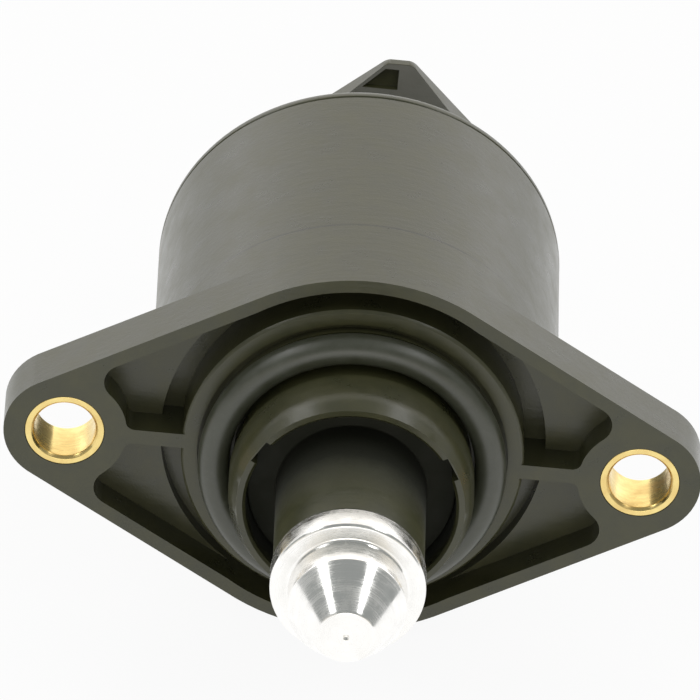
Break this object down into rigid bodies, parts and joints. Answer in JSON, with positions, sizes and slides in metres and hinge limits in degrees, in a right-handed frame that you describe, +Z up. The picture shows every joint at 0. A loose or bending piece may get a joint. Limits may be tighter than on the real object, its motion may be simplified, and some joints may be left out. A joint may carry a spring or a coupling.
{
  "type": "idle air control valve",
  "caption": "Two-hole flange air valve: black moulded body with plug socket, O-ring spigot and a polished pintle driven in and out by a small stepper motor.",
  "frame": {"origin": "centre of the flange's mating face, midway between the two screw holes, on the valve's axis", "axes": "+Y along the valve's axis from the pintle to the plug socket, X through the two screw holes, +Z up, the side of the socket's latch catch"},
  "size_m": [0.0606, 0.0754, 0.0358],
  "materials": {
    "housing_plastic": "black glass-filled nylon, satin, photographs as mid grey",
    "plunger_plastic": "black moulded plastic, satin",
    "brass": "bright turned brass",
    "rubber": "dark grey rubber, slightly bluish",
    "aluminium": "turned and polished",
    "steel": "bright ground steel",
    "inner_plastic": "natural nylon",
    "magnet": "sintered ferrite, dark grey",
    "bronze": "sintered bronze, matt",
    "yoke_steel": "stamped sheet steel",
    "copper": "enamelled copper winding",
    "contact": "tin-plated brass blades"
  },
  "bodies": {
    "body": {"housing": "housing_plastic", "rear_cover": "housing_plastic", "bush_left": "brass", "bush_right": "brass", "flange_o_ring": "rubber", "bearing_outer": "steel", "rear_bush": "bronze", "thrust_washer": "steel", "front_yoke_cup": "yoke_steel", "front_pole_plate": "yoke_steel", "rear_pole_plate": "yoke_steel", "rear_yoke_cup": "yoke_steel", "front_bobbin": "inner_plastic", "rear_bobbin": "inner_plastic", "front_winding": "copper", "rear_winding": "copper", "terminal_1": "contact", "terminal_2": "contact", "terminal_3": "contact", "terminal_4": "contact"},
    "rotor": {"rotor_hub": "inner_plastic", "rotor_nut": "brass", "rotor_magnet": "magnet", "bearing_inner": "steel"},
    "ball_train": {"bearing_balls": "steel", "bearing_cage": "brass"},
    "plunger": {"plunger": "plunger_plastic", "pintle": "aluminium", "lead_screw": "steel"}
  },
  "joints": [
    {"name": "rotor_spin", "type": "hinge", "parent": "body", "child": "rotor", "pos_m": [0, 0, 0], "axis": [0, 1, 0], "range_deg": [0, 2880]},
    {"name": "ball_train_spin", "type": "hinge", "parent": "body", "child": "ball_train", "pos_m": [0, 0, 0], "axis": [0, 1, 0], "range_deg": [0, 1140]},
    {"name": "pintle_slide", "type": "slide", "parent": "body", "child": "plunger", "axis": [0, 1, 0], "range_m": [0, 0.008]}
  ],
  "couplings": [
    {"joint": "ball_train_spin", "follows": "rotor_spin", "ratio": 0.39},
    {"joint": "pintle_slide", "follows": "rotor_spin", "m_per_rad": 0.00015915}
  ]
}
